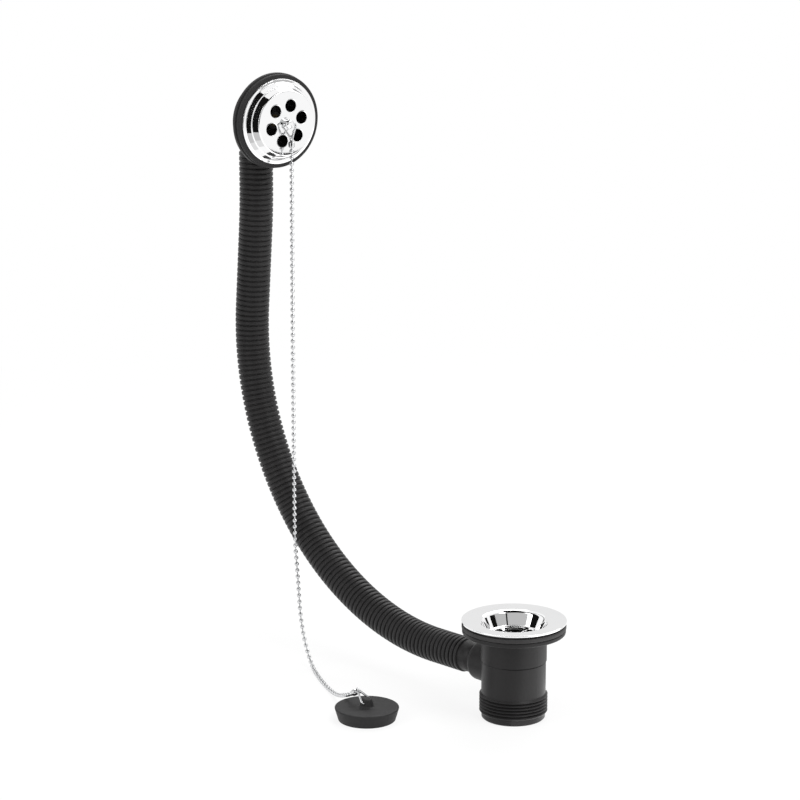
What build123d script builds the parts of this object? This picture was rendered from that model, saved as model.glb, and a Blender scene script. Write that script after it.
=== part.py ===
from build123d import *
import os
from math import atan2, cos, degrees, radians, sin, tan

# Sizes are in millimetres. The origin is on the waste's axis, where its flange seats on the bath floor.

# Waste flange with its plug seat and strainer
flange_radius = 36.8
flange_thickness = 1.8
flange_edge_round = 0.5
flange_relief_height = 0.7
flange_relief_width = 1.6
mouth_radius = 23.4
lip_round = 2.4
seat_depth = 10.6
seat_wall = 1.5
strainer_radius = 18.8
strainer_thickness = 1.6
strainer_hub_radius = 6.4
strainer_hub_height = 4.2
opening_count = 5
opening_outer_radius = 15.8
opening_round = 1.1
spoke_width = 3.2
spoke_angle = 24

# Waste screw and its insert
screw_radius = 3.0
screw_head_radius = 5.2
screw_head_height = 2.4
screw_length = 19
screw_slot_width = 1.2
screw_slot_depth = 1.1
thread_play = 0.1
insert_wall = 1.6
insert_length = 9

# Rings that clamp the bath floor
seal_thickness = 1.0
seal_radius = 35.2
washer_thickness = 3.0
washer_radius = 36.5
ring_bore_radius = 26.4
ring_edge_round = 0.7

# Waste body
body_flange_radius = 36.2
body_flange_thickness = 3.4
body_flange_round = 1.0
body_radius = 23.1
body_step_level = -27.1
body_lower_radius = 22.55
seam_depth = 0.5
seam_width = 0.9
body_bore_radius = 20.0
outlet_radius = 20.5
outlet_length = 24
throat_clearance = 0.4
body_root_round = 1.4

# Threaded tail
tail_thread_radius = 23.9
tail_thread_pitch = 2.309
tail_thread_depth = 1.3
tail_thread_start = -51.9
tail_thread_turns = 5
tail_crest_width = 0.31
tail_lead_radius = 22.3
tail_lead_length = 5.45
tail_chamfer = 0.8

# Spider inside the waste body
spider_arms = 3
spider_arm_width = 2.6
spider_angle = 60
spider_top = -16
spider_height = 8
spider_hub_height = 12
spider_hub_wall = 2.2

# Overflow branch
branch_level = -34.8
branch_shoulder = 34.1
branch_boss_radius = 14.3
branch_end_round = 4.5
branch_root_radius = 15.2
branch_bore_radius = 7.6
spigot_length = 17
spigot_chamfer = 0.8
push_fit = 0.1

# Corrugated hose and its route
hose_radius = 12.3
hose_groove_depth = 1.15
hose_groove_width = 1.5
hose_pitch = 3.78
hose_bore_radius = 9.3
hose_low_cuff = 10.1
hose_top_cuff = 2
hose_low_run = 40.9
hose_low_bend_radius = 180
hose_low_bend = 19.4
hose_mid_bend_radius = 189
hose_mid_bend = 28.6
hose_high_bend_radius = 209
hose_high_bend = 46.2
hose_lean_run = 58.2
hose_back_bend_radius = 454
hose_top_run = 27.2

# Overflow body
overflow_turn = 10.5
overflow_reach = 31.1
overflow_rise = 23.9
cup_flange_radius = 34.5
cup_flange_thickness = 3.4
cup_flange_round = 0.8
cup_radius = 29.6
cup_depth = 17.5
cup_wall = 2.6
cup_back_round = 4
elbow_radius = 11.0
elbow_bend_radius = 14
elbow_bore_radius = 7.8
cup_hub_front = 6
cup_hub_length = 8
cup_hub_wall = 2.0
cup_arms = 3
cup_arm_width = 2.4
cup_arm_length = 5
cup_arm_angle = 90

# Overflow gasket and faceplate
gasket_thickness = 3.6
gasket_radius = 33.8
gasket_bore_radius = 26.8
plate_radius = 30.8
plate_edge_height = 1.2
plate_wall = 1.5
first_step_radius = 28.6
first_step_height = 1.6
ledge_outer_radius = 26.5
ledge_inner_radius = 25.7
ledge_height = 5.3
front_radius = 23.4
front_height = 10.7
front_round = 1.0
drain_count = 6
drain_radius = 4.5
drain_circle_radius = 13.0
drain_angle = 14

# Chain stay, the screw with an eye that holds the faceplate
stay_screw_radius = 2.5
stay_screw_reach = 13.5
stay_collar_radius = 4.4
stay_collar_height = 1.0
stay_head_radius = 3.4
stay_head_height = 5.4
stay_head_round = 2.2
eye_height = 3.0
eye_play = 0.2
stay_insert_length = 6

# Wire triangles at both ends of the chain
wire_radius = 0.75
link_half_width = 6.2
link_height = 11.6
link_corner_radius = 1.5
link_stub_gap = 1.2
top_link_tilt = 19

# Couplings and ball chain
coupling_eye_radius = 1.9
coupling_wire_radius = 0.5
coupling_wall = 0.6
coupling_length = 4.6
coupling_mouth_radius = 1.1
eye_slack = 0.03
coupling_taper = 0.9
bead_radius = 1.6
bead_play = 0.1
bead_pitch = 4.6
pin_radius = 0.45
pin_gap = 0.02

# Plug, lying on the level of the tail's end
plug_place = (-68, -76.9)
plug_top_radius = 22.8
plug_bottom_radius = 20.0
plug_height = 9.5
plug_edge_round = 0.8
plug_hollow_radius = 15
plug_hollow_depth = 3.0
lug_base_radius = 5.0
lug_top_radius = 3.6
lug_height = 6.0
lug_round = 1.4
lug_root_round = 1.5
lug_eye_height = 3.0
plug_link_turn = -165
plug_link_tilt = 47

# Levels and planes worked out from the sizes above
flange_top = flange_thickness
strainer_top = flange_top - seat_depth
seat_slope = (mouth_radius - strainer_radius) / (seat_depth - lip_round)
seat_wall_across = seat_wall * (1 + seat_slope**2) ** 0.5
washer_top = -seal_thickness
body_top = washer_top - washer_thickness
body_flange_bottom = body_top - body_flange_thickness
tail_thread_end = tail_thread_start - tail_thread_turns * tail_thread_pitch - tail_crest_width
tail_end = tail_thread_end - tail_lead_length
outlet_top = tail_end + outlet_length
insert_radius = screw_radius + insert_wall
spigot_radius = hose_bore_radius - push_fit
up = Vector(0, 0, 1)


def seat_radius(level):
    """The plug seat's inner radius at a level, on the line of its cone."""
    return mouth_radius - (flange_top - lip_round - level) * seat_slope


def throat_level(radius):
    """The level where the body's throat, which clears the plug seat, has this radius."""
    return (radius - throat_clearance - seat_wall_across - mouth_radius) / seat_slope + flange_top - lip_round


os.makedirs("parts", exist_ok=True)

# Waste flange: a plated flange, plug seat and strainer in one piece
with BuildPart() as waste_flange:
    strainer_bottom = strainer_top - strainer_thickness
    hub_bottom = strainer_top - strainer_hub_height
    with BuildSketch(Plane.XZ):
        with BuildLine():
            top = Line((flange_radius, flange_top), (mouth_radius + lip_round, flange_top))
            lip = JernArc(top @ 1, (-1, 0), lip_round, 90)
            wall = Line(lip @ 1, (strainer_radius, strainer_top))
            Polyline(
                wall @ 1,
                (0, strainer_top),
                (0, hub_bottom),
                (strainer_hub_radius, hub_bottom),
                (strainer_hub_radius, strainer_bottom),
                (seat_radius(strainer_bottom) + seat_wall_across, strainer_bottom),
                (seat_radius(0) + seat_wall_across, 0),
                (flange_radius - flange_relief_width, 0),
                (flange_radius, flange_relief_height),
                top @ 0,
            )
        make_face()
    revolve(axis=Axis.Z)
    rim = waste_flange.edges().filter_by(GeomType.CIRCLE).group_by(SortBy.RADIUS)[-1]
    fillet(rim.sort_by(Axis.Z)[-1], flange_edge_round)
    with BuildSketch(Plane.XY.offset(strainer_top)) as openings:
        Circle(opening_outer_radius)
        Circle(strainer_hub_radius, mode=Mode.SUBTRACT)
        with PolarLocations(opening_outer_radius / 2, opening_count, start_angle=spoke_angle):
            Rectangle(opening_outer_radius + spoke_width, spoke_width, mode=Mode.SUBTRACT)
        fillet(openings.vertices(), opening_round)
    extrude(amount=-strainer_thickness, mode=Mode.SUBTRACT)
    with Locations((0, 0, strainer_top)):
        CounterSinkHole(
            screw_radius + thread_play,
            screw_head_radius + thread_play,
            strainer_hub_height,
            counter_sink_angle=2 * degrees(atan2(screw_head_radius - screw_radius, screw_head_height)),
        )
waste_flange.part.label = "waste_flange"
export_step(waste_flange.part, "parts/waste_flange.step")

# Waste screw, slotted, with its head flush in the strainer's hub
with BuildPart() as waste_screw:
    with BuildSketch(Plane.XZ):
        Polygon(
            (0, strainer_top),
            (screw_head_radius, strainer_top),
            (screw_radius, strainer_top - screw_head_height),
            (screw_radius, strainer_top - screw_length),
            (0, strainer_top - screw_length),
            align=None,
        )
    revolve(axis=Axis.Z)
    chamfer(waste_screw.edges().filter_by(GeomType.CIRCLE).sort_by(Axis.Z)[0], screw_radius / 4)
    with BuildSketch(Plane.XY.offset(strainer_top)):
        Rectangle(3 * screw_head_radius, screw_slot_width)
    extrude(amount=-screw_slot_depth, mode=Mode.SUBTRACT)
waste_screw.part.label = "waste_screw"
export_step(waste_screw.part, "parts/waste_screw.step")

# Thin seal under the flange
with BuildPart() as flange_seal:
    with BuildSketch():
        Circle(seal_radius)
        Circle(ring_bore_radius, mode=Mode.SUBTRACT)
    extrude(amount=-seal_thickness)
flange_seal.part.label = "flange_seal"
export_step(flange_seal.part, "parts/flange_seal.step")

# Rubber washer between the bath and the body
with BuildPart() as body_washer:
    with BuildSketch(Plane.XY.offset(washer_top)):
        Circle(washer_radius)
        Circle(ring_bore_radius, mode=Mode.SUBTRACT)
    extrude(amount=-washer_thickness)
    fillet(body_washer.edges().filter_by(GeomType.CIRCLE).group_by(SortBy.RADIUS)[-1], ring_edge_round)
body_washer.part.label = "body_washer"
export_step(body_washer.part, "parts/body_washer.step")

# Waste body: flange, barrel, branch, spider and threaded tail in one moulding
branch_section = Plane((0, 0, branch_level), x_dir=(-1, 0, 0), z_dir=(0, 1, 0))
branch_axis = Axis((0, 0, branch_level), (-1, 0, 0))
spigot_end = branch_shoulder + spigot_length
spider_hub_radius = insert_radius + spider_hub_wall

with BuildPart() as waste_body:
    with BuildSketch(Plane.XZ):
        Polygon(
            (0, body_top),
            (body_flange_radius, body_top),
            (body_flange_radius, body_flange_bottom),
            (body_radius, body_flange_bottom),
            (body_radius, body_step_level),
            (body_lower_radius - seam_depth, body_step_level),
            (body_lower_radius, body_step_level - seam_width),
            (body_lower_radius, tail_thread_start + tail_thread_radius - body_lower_radius),
            (tail_thread_radius, tail_thread_start),
            (tail_thread_radius, tail_thread_end),
            (tail_lead_radius, tail_thread_end - tail_thread_radius + tail_lead_radius),
            (tail_lead_radius, tail_end),
            (0, tail_end),
            align=None,
        )
    revolve(axis=Axis.Z)
    fillet(waste_body.edges().filter_by(GeomType.CIRCLE).group_by(SortBy.RADIUS)[-1], body_flange_round)
    flange_root = waste_body.edges().filter_by(GeomType.CIRCLE).filter_by_position(
        Axis.Z, body_flange_bottom, body_flange_bottom
    )
    fillet(flange_root.sort_by(SortBy.RADIUS)[0], body_root_round)
    chamfer(waste_body.edges().filter_by(GeomType.CIRCLE).sort_by(Axis.Z)[0], tail_chamfer)
    with BuildSketch(Plane.XZ):
        for turn in range(tail_thread_turns):
            with Locations((tail_thread_radius, tail_thread_start - turn * tail_thread_pitch)):
                Polygon(
                    (0, -tail_crest_width),
                    (-tail_thread_depth, -(tail_thread_pitch + tail_crest_width) / 2),
                    (0, -tail_thread_pitch),
                    align=None,
                )
    revolve(axis=Axis.Z, mode=Mode.SUBTRACT)
    with BuildSketch(branch_section):
        with BuildLine():
            boss = Line((0, branch_root_radius), (branch_shoulder - branch_end_round, branch_boss_radius))
            boss_end = JernArc(boss @ 1, (1, 0), branch_end_round, -90)
            Polyline(
                boss_end @ 1,
                (branch_shoulder, spigot_radius),
                (spigot_end - spigot_chamfer, spigot_radius),
                (spigot_end, spigot_radius - spigot_chamfer),
                (spigot_end, 0),
                (0, 0),
                boss @ 0,
            )
        make_face()
    revolve(axis=branch_axis)
    with BuildSketch(Plane.XZ):
        Polygon(
            (0, body_top),
            (seat_radius(body_top) + seat_wall_across + throat_clearance, body_top),
            (body_bore_radius, throat_level(body_bore_radius)),
            (body_bore_radius, outlet_top),
            (outlet_radius, outlet_top),
            (outlet_radius, tail_end),
            (0, tail_end),
            align=None,
        )
    revolve(axis=Axis.Z, mode=Mode.SUBTRACT)
    with BuildSketch(branch_section):
        with Locations((spigot_end, 0)):
            Rectangle(spigot_end - body_bore_radius / 2, branch_bore_radius, align=(Align.MAX, Align.MIN))
    revolve(axis=branch_axis, mode=Mode.SUBTRACT)
    with BuildSketch(Plane.XY.offset(spider_top)):
        with PolarLocations(body_bore_radius / 2, spider_arms, start_angle=spider_angle):
            Rectangle(body_bore_radius + spider_arm_width / 2, spider_arm_width)
    extrude(amount=-spider_height)
    with BuildSketch(Plane.XY.offset(spider_top)):
        Circle(spider_hub_radius)
    extrude(amount=-spider_hub_height)
    with Locations((0, 0, spider_top)):
        CounterBoreHole(screw_radius + thread_play, insert_radius, insert_length, spider_hub_height)
waste_body.part.label = "waste_body"
export_step(waste_body.part, "parts/waste_body.step")

# Brass insert in the spider's hub
with BuildPart() as waste_insert:
    with BuildSketch(Plane.XY.offset(spider_top)):
        Circle(insert_radius)
        Circle(screw_radius + thread_play, mode=Mode.SUBTRACT)
    extrude(amount=-insert_length)
waste_insert.part.label = "waste_insert"
export_step(waste_insert.part, "parts/waste_insert.step")

# Hose route: level out of the branch, three bends up, a slight lean, and plumb into the elbow
hose_lean = hose_low_bend + hose_mid_bend + hose_high_bend - 90
with BuildLine(Plane.XZ) as hose_route:
    low_run = Line((-branch_shoulder, branch_level), (-branch_shoulder - hose_low_run, branch_level))
    low_bend = JernArc(low_run @ 1, low_run % 1, hose_low_bend_radius, -hose_low_bend)
    mid_bend = JernArc(low_bend @ 1, low_bend % 1, hose_mid_bend_radius, -hose_mid_bend)
    high_bend = JernArc(mid_bend @ 1, mid_bend % 1, hose_high_bend_radius, -hose_high_bend)
    lean_end = high_bend @ 1 + hose_lean_run * (high_bend % 1)
    lean_run = Line(high_bend @ 1, lean_end)
    back_bend = JernArc(lean_run @ 1, lean_run % 1, hose_back_bend_radius, hose_lean)
    top_run = Line(back_bend @ 1, back_bend @ 1 + hose_top_run * up)
hose_line = hose_route.wires()[0]
hose_top = hose_line @ 1

# Corrugated hose: one groove cut by a ring, repeated along the route, with a plain cuff at each end
groove_floor = hose_radius - hose_groove_depth
groove_span = hose_line.length - hose_low_cuff - hose_top_cuff
groove_count = int(groove_span / hose_pitch)
groove_step = groove_span / groove_count

with BuildPart() as hose_groove:
    with BuildSketch(Plane.XZ):
        Polygon(
            (groove_floor, 0),
            (hose_radius + hose_groove_depth, hose_groove_width),
            (hose_radius + hose_groove_depth, -hose_groove_width),
            align=None,
        )
    revolve(axis=Axis.Z)


def hose_place(distance):
    """The place and direction of the hose's axis at a distance along its route."""
    return hose_line.location_at(distance, position_mode=PositionMode.LENGTH)


with BuildPart() as overflow_hose:
    with BuildSketch(Plane(hose_line ^ 0)):
        Circle(hose_radius)
        Circle(hose_bore_radius, mode=Mode.SUBTRACT)
    sweep(path=hose_line)
    for start, length in ((0, hose_low_cuff), (hose_line.length - hose_top_cuff, hose_top_cuff)):
        with BuildSketch(Plane(hose_place(start))):
            Circle(hose_radius + hose_groove_depth)
            Circle(groove_floor, mode=Mode.SUBTRACT)
        extrude(amount=length, mode=Mode.SUBTRACT)
    with Locations(*(hose_place(hose_low_cuff + (n + 0.5) * groove_step) for n in range(groove_count))):
        add(hose_groove.part, mode=Mode.SUBTRACT)
overflow_hose.part.label = "overflow_hose"
export_step(overflow_hose.part, "parts/overflow_hose.step")

# Overflow frame: the faceplate looks along facing, turned from the hose's plane, with its centre above the hose
facing = Vector(cos(radians(overflow_turn)), -sin(radians(overflow_turn)), 0)
across = up.cross(facing)
overflow_centre = hose_top + overflow_reach * facing + overflow_rise * up
overflow_axis = Axis(overflow_centre, facing)
overflow_section = Plane(overflow_centre, x_dir=across, z_dir=-up)
overflow_face = Plane(overflow_centre, x_dir=across, z_dir=facing)
cup_front = -gasket_thickness
cup_flange_back = cup_front - cup_flange_thickness
stay_insert_radius = stay_screw_radius + insert_wall

# Overflow body: flange, cup, spider and elbow in one moulding
with BuildPart() as overflow_body:
    with BuildSketch(overflow_section) as cup_outline:
        Polygon(
            (0, cup_front),
            (cup_flange_radius, cup_front),
            (cup_flange_radius, cup_flange_back),
            (cup_radius, cup_flange_back),
            (cup_radius, -cup_depth),
            (0, -cup_depth),
            align=None,
        )
        fillet(cup_outline.vertices().sort_by_distance((cup_radius, -cup_depth))[0], cup_back_round)
        flange_corners = cup_outline.vertices().group_by(Axis.X)[-1]
        fillet(flange_corners, cup_flange_round)
    revolve(axis=overflow_axis)
    elbow_section = Plane(overflow_centre - overflow_reach * facing, x_dir=facing, z_dir=-across)
    with BuildLine(elbow_section) as elbow_route:
        down = Line((0, -overflow_rise), (0, -elbow_bend_radius))
        JernArc(down @ 1, (0, 1), elbow_bend_radius, -90)
        Line((elbow_bend_radius, 0), (overflow_reach - cup_depth + cup_wall, 0))
    elbow_line = elbow_route.wires()[0]
    with BuildSketch(Plane(elbow_line ^ 0)):
        Circle(elbow_radius)
    sweep(path=elbow_line)
    with BuildSketch(Plane(hose_top, z_dir=-up)):
        Circle(spigot_radius)
    extrude(amount=spigot_length)
    with BuildSketch(overflow_section):
        Polygon(
            (0, cup_front),
            (cup_radius - cup_wall, cup_front),
            (cup_radius - cup_wall, cup_wall - cup_depth),
            (0, cup_wall - cup_depth),
            align=None,
        )
    revolve(axis=overflow_axis, mode=Mode.SUBTRACT)
    with BuildSketch(Plane(elbow_line ^ 0)):
        Circle(elbow_bore_radius)
    sweep(path=elbow_line, mode=Mode.SUBTRACT)
    with BuildSketch(Plane(hose_top, z_dir=-up)):
        Circle(elbow_bore_radius)
    extrude(amount=spigot_length, mode=Mode.SUBTRACT)
    with BuildSketch(overflow_face.offset(-cup_hub_front)):
        with PolarLocations(cup_radius / 2, cup_arms, start_angle=cup_arm_angle):
            Rectangle(cup_radius - cup_wall / 2, cup_arm_width)
    extrude(amount=-cup_arm_length)
    with BuildSketch(overflow_face.offset(-cup_hub_front)):
        Circle(stay_insert_radius + cup_hub_wall)
    extrude(amount=-cup_hub_length)
    with Locations(overflow_face.offset(-cup_hub_front)):
        CounterBoreHole(stay_screw_radius + thread_play, stay_insert_radius, stay_insert_length, cup_hub_length)
overflow_body.part.label = "overflow_body"
export_step(overflow_body.part, "parts/overflow_body.step")

# Brass insert in the cup's hub
with BuildPart() as overflow_insert:
    with BuildSketch(overflow_face.offset(-cup_hub_front)):
        Circle(stay_insert_radius)
        Circle(stay_screw_radius + thread_play, mode=Mode.SUBTRACT)
    extrude(amount=-stay_insert_length)
overflow_insert.part.label = "overflow_insert"
export_step(overflow_insert.part, "parts/overflow_insert.step")

# Rubber gasket between the bath wall and the body
with BuildPart() as overflow_gasket:
    with BuildSketch(overflow_face):
        Circle(gasket_radius)
        Circle(gasket_bore_radius, mode=Mode.SUBTRACT)
    extrude(amount=-gasket_thickness)
    fillet(overflow_gasket.edges().filter_by(GeomType.CIRCLE).group_by(SortBy.RADIUS)[-1], ring_edge_round)
overflow_gasket.part.label = "overflow_gasket"
export_step(overflow_gasket.part, "parts/overflow_gasket.step")

# Faceplate: a thin plated dome in two steps, with drain holes and a hole for the stay
with BuildPart() as overflow_faceplate:
    with BuildSketch(overflow_section) as plate_outline:
        with BuildLine() as plate_line:
            Polyline(
                (plate_radius, 0),
                (plate_radius, plate_edge_height),
                (first_step_radius, first_step_height),
                (ledge_outer_radius, ledge_height),
                (ledge_inner_radius, ledge_height),
                (front_radius, front_height),
                (0, front_height),
                (0, front_height - plate_wall),
                (front_radius - plate_wall, front_height - plate_wall),
                (ledge_inner_radius - plate_wall, ledge_height - plate_wall),
                (ledge_outer_radius - plate_wall, ledge_height - plate_wall),
                (first_step_radius - plate_wall, 0),
                close=True,
            )
        make_face()
        front_corner = plate_outline.vertices().sort_by_distance((front_radius, front_height))[0]
        fillet(front_corner, front_round)
    revolve(axis=overflow_axis)
    with BuildSketch(overflow_face.offset(front_height)):
        with PolarLocations(drain_circle_radius, drain_count, start_angle=drain_angle):
            Circle(drain_radius)
    extrude(amount=-plate_wall, mode=Mode.SUBTRACT)
    with Locations(overflow_face.offset(front_height)):
        Hole(stay_screw_radius + thread_play, plate_wall)
overflow_faceplate.part.label = "overflow_faceplate"
export_step(overflow_faceplate.part, "parts/overflow_faceplate.step")

# Chain stay: a screw whose domed head has a cross hole for the top link
eye_centre = overflow_centre + (front_height + eye_height) * facing
with BuildPart() as chain_stay:
    with BuildSketch(overflow_section) as stay_outline:
        Polygon(
            (0, front_height + stay_head_height),
            (stay_head_radius, front_height + stay_head_height),
            (stay_head_radius, front_height + stay_collar_height),
            (stay_collar_radius, front_height + stay_collar_height),
            (stay_collar_radius, front_height),
            (stay_screw_radius, front_height),
            (stay_screw_radius, -stay_screw_reach),
            (0, -stay_screw_reach),
            align=None,
        )
        head_corner = stay_outline.vertices().sort_by_distance((stay_head_radius, front_height + stay_head_height))[0]
        fillet(head_corner, stay_head_round)
    revolve(axis=overflow_axis)
    with BuildSketch(Plane(eye_centre, x_dir=facing, z_dir=across)):
        Circle(wire_radius + eye_play)
    extrude(amount=stay_collar_radius, both=True, mode=Mode.SUBTRACT)
chain_stay.part.label = "chain_stay"
export_step(chain_stay.part, "parts/chain_stay.step")

# Plug: a tapered rubber disc, hollow below, with a lug for its link
plug_base = Plane((plug_place[0], plug_place[1], tail_end))
plug_section = Plane(plug_base.origin, x_dir=(1, 0, 0), z_dir=(0, -1, 0))
plug_axis = Axis(plug_base.origin, up)
lug_top = plug_height + lug_height
with BuildPart() as plug:
    with BuildSketch(plug_section) as plug_outline:
        Polygon(
            (0, lug_top),
            (lug_top_radius, lug_top),
            (lug_base_radius, plug_height),
            (plug_top_radius, plug_height),
            (plug_bottom_radius, 0),
            (plug_hollow_radius, 0),
            (plug_hollow_radius, plug_hollow_depth),
            (0, plug_hollow_depth),
            align=None,
        )
        corners = plug_outline.vertices()
        fillet(corners.sort_by_distance((lug_top_radius, lug_top))[0], lug_round)
        fillet(plug_outline.vertices().sort_by_distance((lug_base_radius, plug_height))[0], lug_root_round)
        fillet(plug_outline.vertices().sort_by_distance((plug_top_radius, plug_height))[0], plug_edge_round)
        fillet(plug_outline.vertices().sort_by_distance((plug_bottom_radius, 0))[0], plug_edge_round)
    revolve(axis=plug_axis)
    lean = Vector(cos(radians(plug_link_turn)), sin(radians(plug_link_turn)), 0)
    lug_eye = plug_base.origin + (plug_height + lug_eye_height) * up
    with BuildSketch(Plane(lug_eye, x_dir=up, z_dir=up.cross(lean))):
        Circle(wire_radius + eye_play)
    extrude(amount=lug_base_radius, both=True, mode=Mode.SUBTRACT)
plug.part.label = "plug"
export_step(plug.part, "parts/plug.step")

# Wire triangles: one hangs from the stay, the other leans from the plug's lug
apex_half_angle = atan2(link_half_width, link_height)
apex_reach = link_height - link_corner_radius / sin(apex_half_angle) + link_corner_radius
top_link_run = sin(radians(top_link_tilt)) * facing - cos(radians(top_link_tilt)) * up
plug_link_run = cos(radians(plug_link_tilt)) * lean + sin(radians(plug_link_tilt)) * up
plug_link_base = up.cross(lean)
top_link_plane = Plane(eye_centre, x_dir=across, z_dir=across.cross(top_link_run))
plug_link_plane = Plane(lug_eye, x_dir=plug_link_base, z_dir=plug_link_base.cross(plug_link_run))

for label, link_plane in (("top_link", top_link_plane), ("plug_link", plug_link_plane)):
    with BuildPart() as wire_link:
        with BuildLine(link_plane) as link_route:
            FilletPolyline(
                (link_stub_gap, 0),
                (link_half_width, 0),
                (0, link_height),
                (-link_half_width, 0),
                (-link_stub_gap, 0),
                radius=link_corner_radius,
            )
        link_line = link_route.wires()[0]
        with BuildSketch(Plane(link_line ^ 0)):
            Circle(wire_radius)
        sweep(path=link_line)
    wire_link.part.label = label
    export_step(wire_link.part, f"parts/{label}.step")

# Chain ends: each coupling's eye hangs on a link's apex and its cup holds the chain's last bead
chain_floor = tail_end + bead_radius
chain_bends = (
    Vector(-204.3, -15.2, 26.5),
    Vector(-196.7, -18, -5.5),
    Vector(-188.1, -22.6, -41.8),
    Vector(-175.5, -27, chain_floor),
    Vector(-144.9, -46.2, chain_floor),
    Vector(-116.1, -60.3, chain_floor),
    Vector(-86.6, -77.5, -56.35),
)
cavity_radius = bead_radius + bead_play
cup_outer_radius = cavity_radius + coupling_wall
cup_start = coupling_eye_radius + coupling_wire_radius / 4
cup_middle = cup_start + coupling_length / 2
bead_seat = (cavity_radius**2 - coupling_mouth_radius**2) ** 0.5 - (bead_radius**2 - coupling_mouth_radius**2) ** 0.5
top_apex = eye_centre + apex_reach * top_link_run
plug_apex = lug_eye + apex_reach * plug_link_run
top_pull = (chain_bends[0] - top_apex).normalized()
plug_pull = (chain_bends[-1] - plug_apex).normalized()


def eye_drop(pull, base):
    """How far a coupling's eye hangs off the wire, when pulled at a slant to a link with this base."""
    slant = radians(pull.get_angle(base))
    return coupling_eye_radius - (coupling_wire_radius + wire_radius) / sin(slant) - eye_slack


top_coupling_plane = Plane(top_apex + eye_drop(top_pull, across) * top_pull, x_dir=across, z_dir=top_pull)
plug_coupling_plane = Plane(
    plug_apex + eye_drop(plug_pull, plug_link_base) * plug_pull, x_dir=plug_link_base, z_dir=plug_pull
)

for label, coupling_plane in (("top_coupling", top_coupling_plane), ("bottom_coupling", plug_coupling_plane)):
    coupling_section = Plane(coupling_plane.origin, x_dir=coupling_plane.x_dir, z_dir=-coupling_plane.y_dir)
    coupling_axis = Axis(coupling_plane.origin, coupling_plane.z_dir)
    with BuildPart() as coupling:
        with BuildSketch(coupling_section):
            Polygon(
                (0, cup_start),
                (cup_outer_radius - coupling_taper, cup_start),
                (cup_outer_radius, cup_start + coupling_taper),
                (cup_outer_radius, cup_start + coupling_length - coupling_taper),
                (cup_outer_radius - coupling_taper, cup_start + coupling_length),
                (0, cup_start + coupling_length),
                align=None,
            )
        revolve(axis=coupling_axis)
        with Locations(coupling_plane.offset(cup_middle)):
            Sphere(cavity_radius, mode=Mode.SUBTRACT)
            Cylinder(
                coupling_mouth_radius,
                coupling_length,
                align=(Align.CENTER, Align.CENTER, Align.MIN),
                mode=Mode.SUBTRACT,
            )
        with Locations(Plane(coupling_plane.origin, x_dir=coupling_plane.z_dir, z_dir=coupling_plane.x_dir)):
            Torus(coupling_eye_radius, coupling_wire_radius)
    coupling.part.label = label
    export_step(coupling.part, f"parts/{label}.step")

# Ball chain route: straight runs joined by wide bends, from one coupling's bead to the other's
chain_points = [
    top_coupling_plane.origin + (cup_middle + bead_seat) * top_pull,
    *chain_bends,
    plug_coupling_plane.origin + (cup_middle + bead_seat) * plug_pull,
]
chain_radii = []
for before, bend, after in zip(chain_points, chain_points[1:], chain_points[2:]):
    half_turn = radians((bend - before).get_angle(after - bend)) / 2
    chain_radii.append(0.45 * min((bend - before).length, (after - bend).length) / tan(half_turn))
with BuildLine() as chain_route:
    FilletPolyline(*chain_points, radius=chain_radii)
chain_line = chain_route.wires()[0]
bead_count = round(chain_line.length / bead_pitch)
bead_centres = [chain_line @ (n / bead_count) for n in range(bead_count + 1)]
print("chain length", round(chain_line.length, 1), "bend radii", [round(radius, 1) for radius in chain_radii])

# Beads of the chain
with BuildPart() as chain_beads:
    with Locations(*bead_centres):
        Sphere(bead_radius)
chain_beads.part.label = "chain_beads"
export_step(chain_beads.part, "parts/chain_beads.step")

# Short wires between the beads
with BuildPart() as chain_wires:
    for start, end in zip(bead_centres, bead_centres[1:]):
        with Locations(Plane((start + end) / 2, z_dir=end - start)):
            Cylinder(pin_radius, (end - start).length - 2 * bead_radius - 2 * pin_gap)
chain_wires.part.label = "chain_wires"
export_step(chain_wires.part, "parts/chain_wires.step")
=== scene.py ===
"""Looks of a bath waste and overflow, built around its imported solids.

The file is laid out as an add-on and run as a script. Lengths are in metres. The frame is the solids' own:
the origin is on the waste's axis where its flange seats, +Z points up, and the hose leaves towards -X.
"""

import bmesh
import bpy
import numpy as np
from bpy.props import FloatProperty, FloatVectorProperty, IntProperty, PointerProperty
from mathutils import Matrix


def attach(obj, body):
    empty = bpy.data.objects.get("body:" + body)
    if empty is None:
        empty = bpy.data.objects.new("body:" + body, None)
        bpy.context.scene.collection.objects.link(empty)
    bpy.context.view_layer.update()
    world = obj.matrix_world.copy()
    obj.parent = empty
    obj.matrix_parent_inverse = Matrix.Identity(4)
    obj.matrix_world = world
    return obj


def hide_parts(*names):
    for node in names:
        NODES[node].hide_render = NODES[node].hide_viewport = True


bl_info = {
    "name": "Bath Waste and Overflow",
    "version": (1, 0, 0),
    "blender": (4, 5, 0),
    "location": "View3D > Sidebar > Bath Waste",
    "description": "Builds the looks of a bath waste, its overflow, hose, plug and ball chain",
    "category": "Add Mesh",
}

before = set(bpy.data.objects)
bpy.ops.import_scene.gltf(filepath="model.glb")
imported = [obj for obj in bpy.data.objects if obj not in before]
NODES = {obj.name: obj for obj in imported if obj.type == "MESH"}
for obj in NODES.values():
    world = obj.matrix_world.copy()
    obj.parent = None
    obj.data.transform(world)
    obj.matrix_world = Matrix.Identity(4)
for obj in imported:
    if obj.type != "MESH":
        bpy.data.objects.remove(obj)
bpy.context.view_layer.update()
ROOT = "root"
ORIGIN = np.zeros(3)
X_AXIS, Y_AXIS, UP = np.eye(3)
# A direction that no part of the chain takes.
NEVER_TAKEN = (0.3, 0.9, 0.2)

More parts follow.
